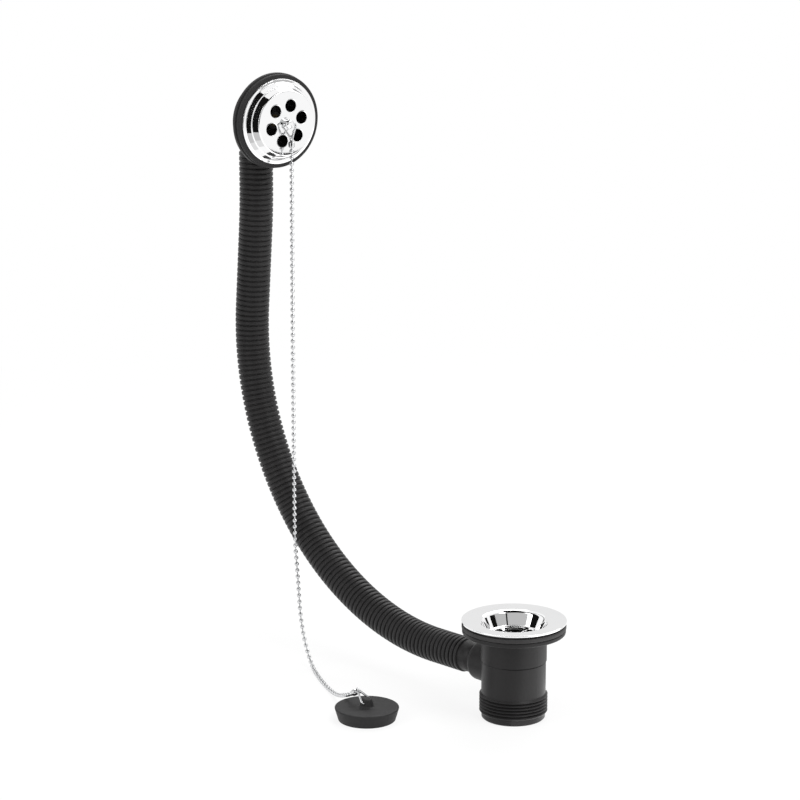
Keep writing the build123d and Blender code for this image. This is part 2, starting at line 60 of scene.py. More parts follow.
MERGE_DISTANCE, SHORTEST_EDGE = 2e-6, 1e-7
SENSOR_WIDTH = 36
FLOOR_REACH = 9
MAT_LIFT = 0.001
# Rounds on the rubber rings, the strainer's openings and their corners, and the drains.
RING_ROUND, HOLE_ROUND, OPENING_ROUND, DRAIN_ROUND = 0.0007, 0.0003, 0.0011, 0.00035
# Rims left whole round the strainer and the front disc, and the hub's set-back from its openings.
STRAINER_RIM, FRONT_RIM, HUB_INSET = 0.0012, 0.003, 0.0002
# Length of the steps along the hose's axis.
HOSE_STEP = 0.0005
# Steps round each surface, and rows along or across it.
RING_STEPS, OUTLINE_STEPS, SECTOR_STEPS, ARM_STEPS = 160, 240, 24, 12
HOSE_STEPS, BORE_ROWS = 56, 90
LINK_STEPS, LINK_ROWS = 16, 60
BEAD_STEPS, BEAD_ROWS = 12, 9
PIN_STEPS, CUP_STEPS = 8, 28
EYE_STEPS, EYE_ROWS = 36, 12


def size(label, millimetres, text):
    """A length that a user may change, given in millimetres and kept in metres."""
    return FloatProperty(name=label, description=text, default=millimetres / 1000, unit="LENGTH", precision=5)


def turn(label, degrees, text):
    """An angle that a user may change, given in degrees and kept in radians."""
    return FloatProperty(name=label, description=text, default=np.radians(degrees), subtype="ANGLE")


def tint(label, rgb, text):
    """A colour that a user may change."""
    return FloatVectorProperty(
        name=label, description=text, default=rgb, subtype="COLOR", size=3, min=0, max=1
    )


def tally(label, number, most, text):
    """A count that a user may change."""
    return IntProperty(name=label, description=text, default=number, min=3, max=most)


def plain(label, number, text):
    """A plain number that a user may change."""
    return FloatProperty(name=label, description=text, default=number)


class WasteSizes(bpy.types.PropertyGroup):
    """Sizes of the plated waste, its rings and the threaded tail."""

    flange_radius: size("Flange radius", 36.8, "Outer radius of the plated flange")
    flange_thickness: size("Flange thickness", 1.8, "Thickness of the flange at its rim")
    flange_dish: size("Flange dish", 1.0, "Fall of the flange from its rim to the lip")
    relief_height: size("Relief height", 0.7, "Height of the bevel under the flange's rim")
    relief_width: size("Relief width", 1.6, "Width of the bevel under the flange's rim")
    mouth_radius: size("Mouth radius", 23.4, "Radius of the plug seat where it leaves the lip")
    lip_round: size("Lip round", 2.4, "Round between the flange and the plug seat")
    seat_depth: size("Seat depth", 10.6, "Depth of the plug seat down to the strainer")
    seat_wall: size("Seat wall", 1.5, "Wall of the plug seat")
    strainer_radius: size("Strainer radius", 18.8, "Radius of the strainer at the foot of the seat")
    strainer_thickness: size("Strainer thickness", 1.6, "Thickness of the strainer")
    hub_radius: size("Hub radius", 6.4, "Inner edge of the strainer's openings")
    hub_height: size("Hub height", 4.2, "Height of the hub under the strainer")
    opening_radius: size("Opening radius", 15.8, "Outer edge of the strainer's openings")
    opening_count: tally("Openings", 5, 8, "Openings in the strainer")
    spoke_width: size("Spoke width", 3.2, "Width of the strainer's spokes")
    spoke_angle: turn("Spoke angle", 24, "Turn of the first spoke about the waste's axis")
    screw_radius: size("Screw hole", 3.1, "Radius of the screw's hole in the hub")
    sink_radius: size("Countersink", 5.3, "Radius of the countersink in the hub")
    sink_depth: size("Countersink depth", 2.4, "Depth of the countersink")
    seal_radius: size("Seal radius", 35.2, "Outer radius of the thin seal")
    seal_thickness: size("Seal thickness", 1.0, "Thickness of the thin seal")
    washer_radius: size("Washer radius", 36.5, "Outer radius of the rubber washer")
    washer_thickness: size("Washer thickness", 3.0, "Thickness of the rubber washer")
    ring_bore: size("Ring bore", 26.4, "Bore radius of the seal and the washer")
    tail_end: size("Tail end", -69.205, "Level of the tail's end, on which the part stands")


class HoseSizes(bpy.types.PropertyGroup):
    """Sizes of the corrugated hose and the runs and bends of its route."""

    start: size("Start", 34.1, "Distance of the branch's shoulder from the waste's axis")
    level: size("Level", -34.8, "Level of the branch")
    radius: size("Rib radius", 12.3, "Radius over the ribs")
    groove_depth: size("Groove depth", 1.15, "Depth of the grooves between ribs")
    groove_width: size("Groove width", 1.5, "Width of a groove at the rib tops")
    pitch: size("Rib pitch", 3.78, "Distance from rib to rib")
    bore: size("Bore radius", 9.3, "Radius of the bore")
    low_cuff: size("Low cuff", 10.1, "Length of the plain cuff at the branch")
    top_cuff: size("Top cuff", 2.0, "Length of the plain cuff at the overflow")
    low_run: size("Low run", 40.9, "Straight run out of the branch")
    low_radius: size("Low bend radius", 180, "Radius of the first bend")
    low_bend: turn("Low bend", 19.4, "Turn of the first bend")
    mid_radius: size("Middle bend radius", 189, "Radius of the second bend")
    mid_bend: turn("Middle bend", 28.6, "Turn of the second bend")
    high_radius: size("High bend radius", 209, "Radius of the third bend")
    high_bend: turn("High bend", 46.2, "Turn of the third bend")
    lean_run: size("Lean run", 58.2, "Straight run that leans over the bath")
    back_radius: size("Back bend radius", 454, "Radius of the bend that brings the hose plumb")
    top_run: size("Top run", 27.2, "Plumb run into the overflow's elbow")


class OverflowSizes(bpy.types.PropertyGroup):
    """Sizes of the overflow's faceplate and gasket."""

    turn: turn("Turn", 10.5, "Turn of the faceplate out of the hose's plane")
    reach: size("Reach", 31.1, "Distance of the faceplate's rim plane in front of the hose")
    rise: size("Rise", 23.9, "Height of the faceplate's centre over the hose's end")
    gasket_radius: size("Gasket radius", 33.8, "Outer radius of the gasket")
    gasket_bore: size("Gasket bore", 26.8, "Bore radius of the gasket")
    gasket_thickness: size("Gasket thickness", 3.6, "Thickness of the gasket")
    plate_radius: size("Plate radius", 30.8, "Outer radius of the faceplate")
    plate_edge: size("Plate edge", 1.2, "Height of the faceplate's rim")
    plate_wall: size("Plate wall", 1.5, "Wall of the faceplate")
    step_radius: size("Step radius", 28.6, "Radius where the first wall rises from the rim")
    step_height: size("Step height", 1.6, "Height where the first wall starts")
    ledge_outer: size("Ledge outer radius", 26.5, "Outer radius of the ledge")
    ledge_inner: size("Ledge inner radius", 25.7, "Inner radius of the ledge")
    ledge_height: size("Ledge height", 5.3, "Height of the ledge")
    front_radius: size("Front radius", 23.4, "Radius of the front disc")
    front_height: size("Front height", 10.7, "Height of the front disc")
    drain_count: tally("Drains", 6, 12, "Drain holes in the front disc")
    drain_radius: size("Drain radius", 4.5, "Radius of a drain hole")
    drain_circle: size("Drain circle", 13.0, "Radius of the circle the drains lie on")
    drain_angle: turn("Drain angle", 14, "Turn of the first drain")
    stay_hole: size("Stay hole", 2.6, "Radius of the hole for the chain stay")
    eye_height: size("Eye height", 3.0, "Height of the stay's eye over the front disc")


class ChainSizes(bpy.types.PropertyGroup):
    """Sizes of the ball chain, its couplings and the wire links."""

    bead_radius: size("Bead radius", 1.6, "Radius of a bead")
    bead_pitch: size("Bead pitch", 4.6, "Distance from bead to bead")
    wire_radius: size("Pin radius", 0.45, "Radius of the wire between beads")
    link_wire: size("Link wire", 0.75, "Radius of the links' wire")
    link_half_width: size("Link half width", 6.2, "Half the width of a link's base")
    link_height: size("Link height", 11.6, "Height of a link's sharp triangle")
    link_corner: size("Link corner", 1.5, "Bend radius of a link's corners")
    link_gap: size("Link gap", 1.2, "Half the gap between a link's two stubs")
    top_tilt: turn("Top link tilt", 19, "Tilt of the top link away from plumb")
    eye_radius: size("Coupling eye", 1.9, "Radius of a coupling's eye")
    eye_wire: size("Coupling wire", 0.5, "Radius of the eye's wire")
    eye_slack: size("Eye slack", 0.03, "Slack between a coupling's eye and its link")
    cup_length: size("Coupling length", 4.6, "Length of a coupling's cup")
    cup_wall: size("Coupling wall", 0.6, "Wall of a coupling's cup")
    cup_taper: size("Coupling taper", 0.9, "Taper at both ends of a coupling's cup")
    cup_mouth: size("Coupling mouth", 1.1, "Radius of the mouth that keeps the last bead")
    bead_play: size("Bead play", 0.1, "Play of the last bead in its cup")
    plug_x: size("Plug X", -68.0, "Place of the plug along X")
    plug_y: size("Plug Y", -76.9, "Place of the plug along Y")
    plug_eye: size("Plug eye", 12.5, "Height of the lug's eye over the tail's end")
    plug_turn: turn("Plug link turn", -165, "Direction in which the plug's link leans")
    plug_tilt: turn("Plug link tilt", 47, "Rise of the plug's link above level")


class Finishes(bpy.types.PropertyGroup):
    """Colours of the finishes."""

    plating: tint("Plating", (0.955, 0.956, 0.96), "Polished plate on the waste and the faceplate")
    chain: tint("Chain metal", (0.76, 0.765, 0.775), "Bright plate on the chain")
    plastic: tint("Plastic", (0.0125, 0.0118, 0.0122), "Black moulded plastic")
    hose: tint("Hose", (0.0145, 0.0137, 0.0141), "Black hose plastic")
    rubber: tint("Rubber", (0.0165, 0.016, 0.0165), "Black rubber")
    # The washer's colour is lighter than the same black rubber on the gasket: painted light, so its band
    # under the flange reads as lit.
    washer: tint("Washer", (0.0215, 0.0203, 0.0207), "Rubber washer under the flange")
    # The seal's colour is darker than the black rubber: painted shade for the shadow gap under the flange's
    # rim.
    seal: tint("Seal", (0.012, 0.012, 0.012), "Thin seal under the flange")
    brass: tint("Brass", (0.04, 0.032, 0.018), "Brass inserts")
    backdrop: tint("Backdrop", (0.93, 0.93, 0.93), "Pale floor")


class StageSizes(bpy.types.PropertyGroup):
    """Camera and studio."""

    azimuth: turn("Azimuth", 45, "Camera's turn about Z")
    elevation: turn("Elevation", 14.6, "Camera's height angle")
    distance: size("Distance", 2365, "Depth of the flange's top from the camera")
    lens: plain("Lens", 153, "Focal length in millimetres on a 36 mm sensor")
    aim_x: plain("Aim across", 0.14256, "Flange's place across the picture, in widths from its middle")
    aim_y: plain("Aim up", -0.2745, "Flange's place up the picture, in widths from its middle")


GROUPS = {
    "bath_waste": WasteSizes,
    "bath_hose": HoseSizes,
    "bath_overflow": OverflowSizes,
    "bath_chain": ChainSizes,
    "bath_finishes": Finishes,
    "bath_stage": StageSizes,
}


def unit(vector):
    """The vector divided by its length."""
    return np.asarray(vector, float) / np.linalg.norm(vector)


def units(rows):
    """Each row divided by its own length."""
    return rows / np.linalg.norm(rows, axis=1)[:, None]


def full_turn(steps):
    """Equal angles once round, the last a step short of the first."""
    return np.linspace(0, 2 * np.pi, steps, endpoint=False)


def on_circle(angles):
    """Points (cos t, sin t) of a circle of radius 1."""
    return np.stack((np.cos(angles), np.sin(angles)), axis=1)


def travelled(points):
    """The distance along a line of points at each of them."""
    return np.concatenate(([0], np.cumsum(np.linalg.norm(np.diff(points, axis=0), axis=1))))


def along(points, distance, wanted):
    """Points of a line at the wanted distances, read between its own."""
    return np.stack([np.interp(wanted, distance, column) for column in points.T], axis=1)


def rounded(*corners, steps):
    """A profile through corners (x, y, round), each round an arc tangent to the corner's two sides."""
    parts = []
    for i, (x, y, radius) in enumerate(corners):
        corner = np.array((x, y), float)
        if radius <= 0:
            parts.append(corner[None])
            continue
        before = unit(np.array(corners[i - 1][:2]) - corner)
        after = unit(np.array(corners[(i + 1) % len(corners)][:2]) - corner)
        half = np.arccos(np.clip(before @ after, -1, 1)) / 2
        centre = corner + unit(before + after) * radius / np.sin(half)
        first = corner + before * radius / np.tan(half) - centre
        last = corner + after * radius / np.tan(half) - centre
        sweep = np.pi - 2 * half
        t = np.linspace(0, 1, steps + 1)[:, None]
        parts.append(centre + (np.sin((1 - t) * sweep) * first + np.sin(t * sweep) * last) / np.sin(sweep))
    return np.concatenate(parts)


def turned(profile, angles, centre, axis, side):
    """Rows of rings: a profile (r, h) turned about an axis.

    Each point is centre + r (cos t side + sin t across) + h axis.
    """
    across = np.cross(axis, side)
    ring = np.cos(angles)[:, None] * side + np.sin(angles)[:, None] * across
    return centre + profile[:, 0, None, None] * ring + profile[:, 1, None, None] * axis


def carried(path, radii, steps, normal):
    """Rows of rings: circles of the given radii carried along a plane path, each square to its direction."""
    inward = np.cross(units(np.gradient(path, axis=0)), normal)
    t = full_turn(steps)
    ring = np.cos(t)[None, :, None] * inward[:, None] + np.sin(t)[None, :, None] * normal
    return path[:, None] + np.broadcast_to(radii, len(path))[:, None, None] * ring


def grid_faces(rows, columns, close_rows=False):
    """Quads of a grid of points, joined round its columns and, if asked, from its last row to its first."""
    i = np.arange(rows if close_rows else rows - 1)[:, None]
    j = np.arange(columns)[None]
    k, m = (i + 1) % rows, (j + 1) % columns
    corners = (i * columns + j, i * columns + m, k * columns + m, k * columns + j)
    return np.stack(np.broadcast_arrays(*corners), axis=-1).reshape(-1, 4)


def rings(grid, close_rows=False):
    """The shape (points, quads) of rows of rings."""
    return grid, grid_faces(grid.shape[0], grid.shape[1], close_rows)


def many_rings(grids):
    """The shape of many rows of rings, all of one size."""
    count, rows, columns = grids.shape[:3]
    starts = np.arange(count)[:, None, None] * rows * columns
    return grids.reshape(-1, 3), (grid_faces(rows, columns) + starts).reshape(-1, 4)


def flat_ring(bore, radius, low, high, soft, *place):
    """The shape of a flat ring: four corners with soft edges, turned about the axis of its place."""
    corners = ((bore, low, soft), (radius, low, soft), (radius, high, soft), (bore, high, soft))
    return rings(turned(rounded(*corners, steps=4), full_turn(RING_STEPS), *place), True)


def joined(*shapes):
    """One shape from several."""
    points = [p.reshape(-1, 3) for p, _ in shapes]
    starts = np.cumsum([0] + [len(p) for p in points[:-1]])
    return np.concatenate(points), np.concatenate([f + s for (_, f), s in zip(shapes, starts)])


def linked(name, data):
    """A new object in the scene."""
    made = bpy.data.objects.new(name, data)
    bpy.context.scene.collection.objects.link(made)
    return made


def stand(obj, right, above, back, place):
    """Turns an object to the given axes and puts it in its place."""
    obj.matrix_world = Matrix([*np.column_stack((right, above, back, place)).tolist(), (0, 0, 0, 1)])


def piece(name, shape, look, slot, *nodes, sharp=40, even=True):
    """A finished piece in the row frame, which stands for the given nodes.

    Doubles are merged, faces turned outwards, and shading is smooth but at edges of more than sharp degrees.
    """
    points, quads = shape
    mesh = bpy.data.meshes.new(name)
    mesh.from_pydata(points.reshape(-1, 3), [], quads)
    work = bmesh.new()
    work.from_mesh(mesh)
    bmesh.ops.remove_doubles(work, verts=work.verts, dist=MERGE_DISTANCE)
    bmesh.ops.dissolve_degenerate(work, edges=work.edges, dist=SHORTEST_EDGE)
    bmesh.ops.recalc_face_normals(work, faces=work.faces)
    work.to_mesh(mesh)
    work.free()
    mesh.shade_smooth()
    mesh.set_sharp_from_angle(angle=np.radians(sharp))
    mesh.materials.append(finish(look))
    obj = linked(name, mesh)
    if even:
        obj.modifiers.new("even_normals", "WEIGHTED_NORMAL").keep_sharp = True
    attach(obj, ROOT)
    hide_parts(*nodes)
    return obj


def add_node(tree, kind, values=None, operation=None):
    """A new shader node with its own values on the named inputs."""
    made = tree.nodes.new("ShaderNode" + kind)
    if operation:
        made.operation = operation
    for name, value in (values or {}).items():
        made.inputs[name].default_value = value
    return made


def wire_up(tree, *links):
    """Joins nodes: each link gives a node, its output, the next node and its input."""
    for source, output, target, entry in links:
        tree.links.new(source.outputs[output], target.inputs[entry])


def effect(name, *outputs):
    """A node group with a Scale input and the named outputs: its tree, its two ends and its coordinates."""
    tree = bpy.data.node_groups.new(name, "ShaderNodeTree")
    for label, way in (("Scale", "INPUT"), *((output, "OUTPUT") for output in outputs)):
        tree.interface.new_socket(name=label, in_out=way, socket_type="NodeSocketFloat")
    ends = (tree.nodes.new("NodeGroup" + way) for way in ("Input", "Output"))
    return tree, *ends, add_node(tree, "TexCoord")


def grain_group():
    """Fine moulded grain: noises of one scale and of four times it, added as a height, and a mask, 0 to 1."""
    if "moulded_grain" in bpy.data.node_groups:
        return bpy.data.node_groups["moulded_grain"]
    tree, given, out, place = effect("moulded_grain", "Height", "Mask")
    coarse, fine = add_node(tree, "TexNoise", {"Detail": 3.0}), add_node(tree, "TexNoise", {"Detail": 1.0})
    finer = add_node(tree, "Math", {1: 4.0}, "MULTIPLY")
    total = add_node(tree, "Math", {1: 0.35}, "MULTIPLY_ADD")
    wire_up(
        tree,
        *((given, "Scale", coarse, "Scale"), (given, "Scale", finer, 0), (finer, 0, fine, "Scale")),
        *((place, "Object", noise, "Vector") for noise in (coarse, fine)),
        *((fine, "Fac", total, 0), (coarse, "Fac", total, 2)),
        *((total, 0, out, "Height"), (coarse, "Fac", out, "Mask")),
    )
    return tree


def film_group():
    """Handling film: a broad soft noise with its contrast raised, 0 on clean patches and 1 on dulled ones."""
    if "handling_film" in bpy.data.node_groups:
        return bpy.data.node_groups["handling_film"]
    tree, given, out, place = effect("handling_film", "Mask")
    broad = add_node(tree, "TexNoise", {"Detail": 5.0, "Distortion": 0.6})
    contrast = add_node(tree, "MapRange", {"From Min": 0.35, "From Max": 0.7})
    wire_up(
        tree,
        (given, "Scale", broad, "Scale"),
        (place, "Object", broad, "Vector"),
        (broad, "Fac", contrast, "Value"),
        (contrast, "Result", out, "Mask"),
    )
    return tree


def blank(name, values, kind="BsdfPrincipled"):
    """A new material with only one shader: the material, its node tree and the shader."""
    made = bpy.data.materials.new(name)
    made.use_nodes = True
    tree = made.node_tree
    tree.nodes.clear()
    shader = add_node(tree, kind, values)
    wire_up(tree, (shader, 0, add_node(tree, "OutputMaterial"), "Surface"))
    return made, tree, shader


def placed(tree, group, scale):
    """A node group placed in a material at its own scale."""
    made = tree.nodes.new("ShaderNodeGroup")
    made.node_tree = group
    made.inputs["Scale"].default_value = scale
    return made


def spread(tree, source, shader, low, high):
    """Sets a shader's roughness by a group's mask, from low at 0 to high at 1."""
    made = add_node(tree, "MapRange", {"To Min": low, "To Max": high})
    wire_up(tree, (source, "Mask", made, "Value"), (made, "Result", shader, "Roughness"))


def shaded(tree, source, shader, colour, low, high):
    """Sets a shader's colour by a group's mask, from low times the colour at 0 to high times it at 1."""
    mix = add_node(tree, "Mix")
    mix.data_type = "RGBA"
    for entry, share in (("A", low), ("B", high)):
        mix.inputs[entry].default_value = (*(min(1, c * share) for c in colour), 1)
    wire_up(tree, (source, "Mask", mix, "Factor"), (mix, "Result", shader, "Base Color"))


def metal(name, colour, smooth, dull, scale, rim):
    """Polished plate: full metal whose roughness goes from smooth to dull through a faint handling film.

    What it mirrors at its turned-away rims is dimmed to the share rim.
    """
    made, tree, shader = blank(name, {"Metallic": 1.0, "Specular Tint": (rim, rim, rim, 1)})
    film = placed(tree, film_group(), scale)
    shaded(tree, film, shader, colour, 1.0, 0.97)
    spread(tree, film, shader, smooth, dull)
    return made


def moulding(name, colour, smooth, dull, scale, depth, film_scale, shine):
    """Moulded plastic or rubber: fine grain as bump and roughness, and a faint bloom on the colour."""
    made, tree, shader = blank(name, {"Specular IOR Level": shine})
    grain = placed(tree, grain_group(), scale)
    film = placed(tree, film_group(), film_scale)
    bump = add_node(tree, "Bump", {"Strength": 0.35, "Distance": depth})
    wire_up(tree, (grain, "Height", bump, "Height"), (bump, "Normal", shader, "Normal"))
    shaded(tree, film, shader, colour, 0.92, 1.15)
    spread(tree, grain, shader, smooth, dull)
    return made


# Each finish has its colour's name and then what its function takes, in that function's order.
METALS = {
    "polished_plate": ("plating", 0.025, 0.06, 30.0, 1.0),
    "bright_chain_plate": ("chain", 0.03, 0.07, 60.0, 0.2),
    "turned_brass": ("brass", 0.25, 0.4, 80.0, 1.0),
}
MOULDINGS = {
    "moulded_black": ("plastic", 0.36, 0.5, 700.0, 0.00006, 22.0, 0.26),
    "hose_black": ("hose", 0.36, 0.5, 600.0, 0.00006, 22.0, 0.26),
    "black_rubber": ("rubber", 0.5, 0.66, 900.0, 0.00008, 30.0, 0.28),
    # The washer's finish is a lighter copy of black_rubber: painted light on its band under the flange.
    "washer_black": ("washer", 0.45, 0.6, 900.0, 0.00008, 30.0, 0.4),
    # The seal's finish is a darker copy of black_rubber: painted shade for the gap under the flange's rim.
    "seal_black": ("seal", 0.5, 0.66, 900.0, 0.00008, 30.0, 0.4),
}


def finish(name):
    """One of the object's finishes, made when it is first asked for."""
    if name in bpy.data.materials:
        return bpy.data.materials[name]
    make, table = (metal, METALS) if name in METALS else (moulding, MOULDINGS)
    colour, *values = table[name]
    return make(name, getattr(bpy.context.scene.bath_finishes, colour), *values)


def hose_path():
    """Points of the hose's axis and their distances along it.

    Straight runs and arcs follow one another in the plane Y = 0, cut into steps of about HOSE_STEP.
    """
    h = bpy.context.scene.bath_hose
    heading = np.pi
    parts = [np.array(((-h.start, h.level),))]
    lean = h.low_bend + h.mid_bend + h.high_bend - np.pi / 2
    for length, bend in (
        (h.low_run, 0),
        (h.low_radius * h.low_bend, -h.low_bend),
        (h.mid_radius * h.mid_bend, -h.mid_bend),
        (h.high_radius * h.high_bend, -h.high_bend),
        (h.lean_run, 0),
        (h.back_radius * lean, lean),
        (h.top_run, 0),
    ):
        count = max(4, int(length / HOSE_STEP))
        angle = heading + bend * (np.arange(count) + 0.5) / count
        parts.append(parts[-1][-1] + np.cumsum(on_circle(angle) * length / count, axis=0))
        heading += bend
    path = np.insert(np.concatenate(parts), 1, 0, axis=1)
    return path, travelled(path)


def overflow_frame():
    """The overflow's centre on its rim plane, the way it faces, and the level direction across it."""
    o = bpy.context.scene.bath_overflow
    facing = np.array((np.cos(o.turn), -np.sin(o.turn), 0))
    top = hose_path()[0][-1]
    return top + o.reach * facing + o.rise * UP, facing, np.cross(UP, facing)


def link_points(origin, base, run):
    """A wire link's path: along the base from one stub, round two corners and the apex, to the other stub."""
    c = bpy.context.scene.bath_chain
    corners = (
        (c.link_gap, 0, 0),
        (c.link_half_width, 0, c.link_corner),
        (0, c.link_height, c.link_corner),
        (-c.link_half_width, 0, c.link_corner),
        (-c.link_gap, 0, 0),
    )
    flat = rounded(*corners, steps=10)
    distance = travelled(flat)
    wanted = np.unique(np.concatenate((distance, np.linspace(0, distance[-1], LINK_ROWS))))
    flat = along(flat, distance, wanted)
    return origin + flat[:, :1] * base + flat[:, 1:] * run


def cup_places(c):
    """Where a coupling's cup starts and has its middle, from its eye on, and the radius of its hollow."""
    start = c.eye_radius + c.eye_wire / 4
    return start, start + c.cup_length / 2, c.bead_radius + c.bead_play


def chain_ends():
    """Both ends of the chain: its link's origin, base and run, its coupling's eye and pull, its last bead."""
    c, o = bpy.context.scene.bath_chain, bpy.context.scene.bath_overflow
    centre, facing, across = overflow_frame()
    half = np.arctan2(c.link_half_width, c.link_height)
    reach = c.link_height - c.link_corner / np.sin(half) + c.link_corner
    lean = np.array((np.cos(c.plug_turn), np.sin(c.plug_turn), 0))
    plug = np.array((c.plug_x, c.plug_y, bpy.context.scene.bath_waste.tail_end + c.plug_eye))
    top_run = np.sin(c.top_tilt) * facing - np.cos(c.top_tilt) * UP
    plug_run = np.cos(c.plug_tilt) * lean + np.sin(c.plug_tilt) * UP
    bends = chain_bends()
    _, middle, hollow = cup_places(c)
    seat = np.sqrt(hollow**2 - c.cup_mouth**2) - np.sqrt(c.bead_radius**2 - c.cup_mouth**2)
    ends = []
    for origin, base, run, bend in (
        (centre + (o.front_height + o.eye_height) * facing, across, top_run, bends[0]),
        (plug, np.cross(UP, lean), plug_run, bends[-1]),
    ):
        apex = origin + reach * run
        pull = unit(bend - apex)
        slant = np.sqrt(1 - (pull @ base) ** 2)
        eye = apex + (c.eye_radius - (c.eye_wire + c.link_wire) / slant - c.eye_slack) * pull
        bead = eye + (middle + seat) * pull
        ends.append({"origin": origin, "base": base, "run": run, "eye": eye, "pull": pull, "bead": bead})
    return ends


def chain_bends():
    """The chain's route between its two couplings, as its given points."""
    floor = bpy.context.scene.bath_waste.tail_end + bpy.context.scene.bath_chain.bead_radius
    return np.array(
        (
            (-0.2056, -0.0165, 0.0265),
            (-0.1984, -0.0197, -0.0055),
            (-0.1901, -0.0246, -0.0418),
            (-0.1764, -0.0279, floor),
            (-0.1458, -0.0471, floor),
            (-0.1169, -0.0611, floor),
            (-0.0866, -0.0775, -0.05635),
        )
    )


def spline_points(points):
    """Points read from a smooth spline of order 3 that has the given points as its control points."""
    curve = bpy.data.curves.new("chain_route", "CURVE")
    curve.dimensions = "3D"
    curve.resolution_u = 60
    spline = curve.splines.new("NURBS")
    spline.points.add(len(points) - 1)
    spline.points.foreach_set("co", np.concatenate((points, np.ones((len(points), 1))), axis=1).ravel())
    spline.order_u = 3
    spline.use_endpoint_u = True
    route = linked("chain_route", curve)
    bpy.context.view_layer.update()
    mesh = bpy.data.meshes.new_from_object(route.evaluated_get(bpy.context.evaluated_depsgraph_get()))
    read = np.empty(len(mesh.vertices) * 3)
    mesh.vertices.foreach_get("co", read)
    bpy.data.objects.remove(route)
    bpy.data.curves.remove(curve)
    bpy.data.meshes.remove(mesh)
    return read.reshape(-1, 3)


